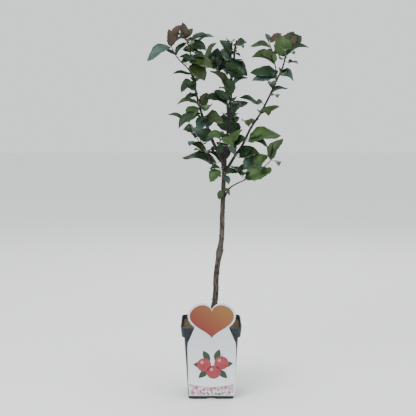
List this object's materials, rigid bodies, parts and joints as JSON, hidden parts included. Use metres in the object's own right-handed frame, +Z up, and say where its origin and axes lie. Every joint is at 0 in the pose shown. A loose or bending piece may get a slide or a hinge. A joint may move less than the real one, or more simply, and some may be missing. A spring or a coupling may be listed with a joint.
{
  "type": "potted apple tree",
  "caption": "Young apple tree with an open leafy head on a slender stem, in a square black nursery pot with a heart-topped plant label.",
  "frame": {"origin": "centre of the flat underside of the pot, on the surface that the pot stands on", "axes": "+Z up, +X to the right of a viewer who faces the label, +Y away from that viewer"},
  "size_m": [0.4591, 0.2898, 1.0666],
  "materials": {
    "pot_plastic": "satin",
    "growing_mix": "rough",
    "bark": "rough",
    "young_bark": "satin",
    "foliage": "satin",
    "label_sheet": "satin"
  },
  "bodies": {
    "root": {"pot": "pot_plastic", "growing_mix": "growing_mix", "label": "label_sheet", "label_hook": "label_sheet", "trunk": "bark", "leader": "young_bark", "second_leader": "young_bark", "left_bough": "young_bark", "right_bough": "young_bark", "right_fork": "young_bark", "left_side_shoot": "young_bark", "leader_side_shoot": "young_bark", "lower_left_branch": "young_bark", "lower_right_branch": "young_bark", "back_shoot": "young_bark", "front_shoot": "young_bark", "left_shoot_tip_leaves": "foliage", "far_left_leaves": "foliage", "left_top_leaves": "foliage", "left_upper_leaves": "foliage", "left_side_leaves": "foliage", "left_middle_leaves": "foliage", "left_round_leaves": "foliage", "inner_top_leaves": "foliage", "inner_arch_leaves": "foliage", "leader_right_leaves": "foliage", "leader_top_leaves": "foliage", "leader_left_leaves": "foliage", "leader_lower_leaves": "foliage", "right_inner_leaves": "foliage", "right_arch_leaves": "foliage", "right_inner_low_leaves": "foliage", "right_fork_tip_leaves": "foliage", "right_top_leaves": "foliage", "far_right_leaves": "foliage", "right_outer_leaves": "foliage", "right_side_leaves": "foliage", "right_shelf_leaves": "foliage", "right_low_side_leaves": "foliage", "left_low_leaves": "foliage", "lower_left_tip_leaves": "foliage", "left_bough_leaves": "foliage", "middle_leaves": "foliage", "front_leaves": "foliage", "left_inner_leaves": "foliage", "right_bough_leaves": "foliage", "right_middle_leaves": "foliage", "lower_right_tip_leaves": "foliage", "right_lower_leaves": "foliage", "lowest_inner_leaves": "foliage", "lowest_outer_leaves": "foliage", "lowest_left_leaves": "foliage", "fork_left_leaves": "foliage", "fork_right_leaves": "foliage", "fork_top_leaves": "foliage", "trunk_leaves": "foliage"}
  },
  "joints": []
}
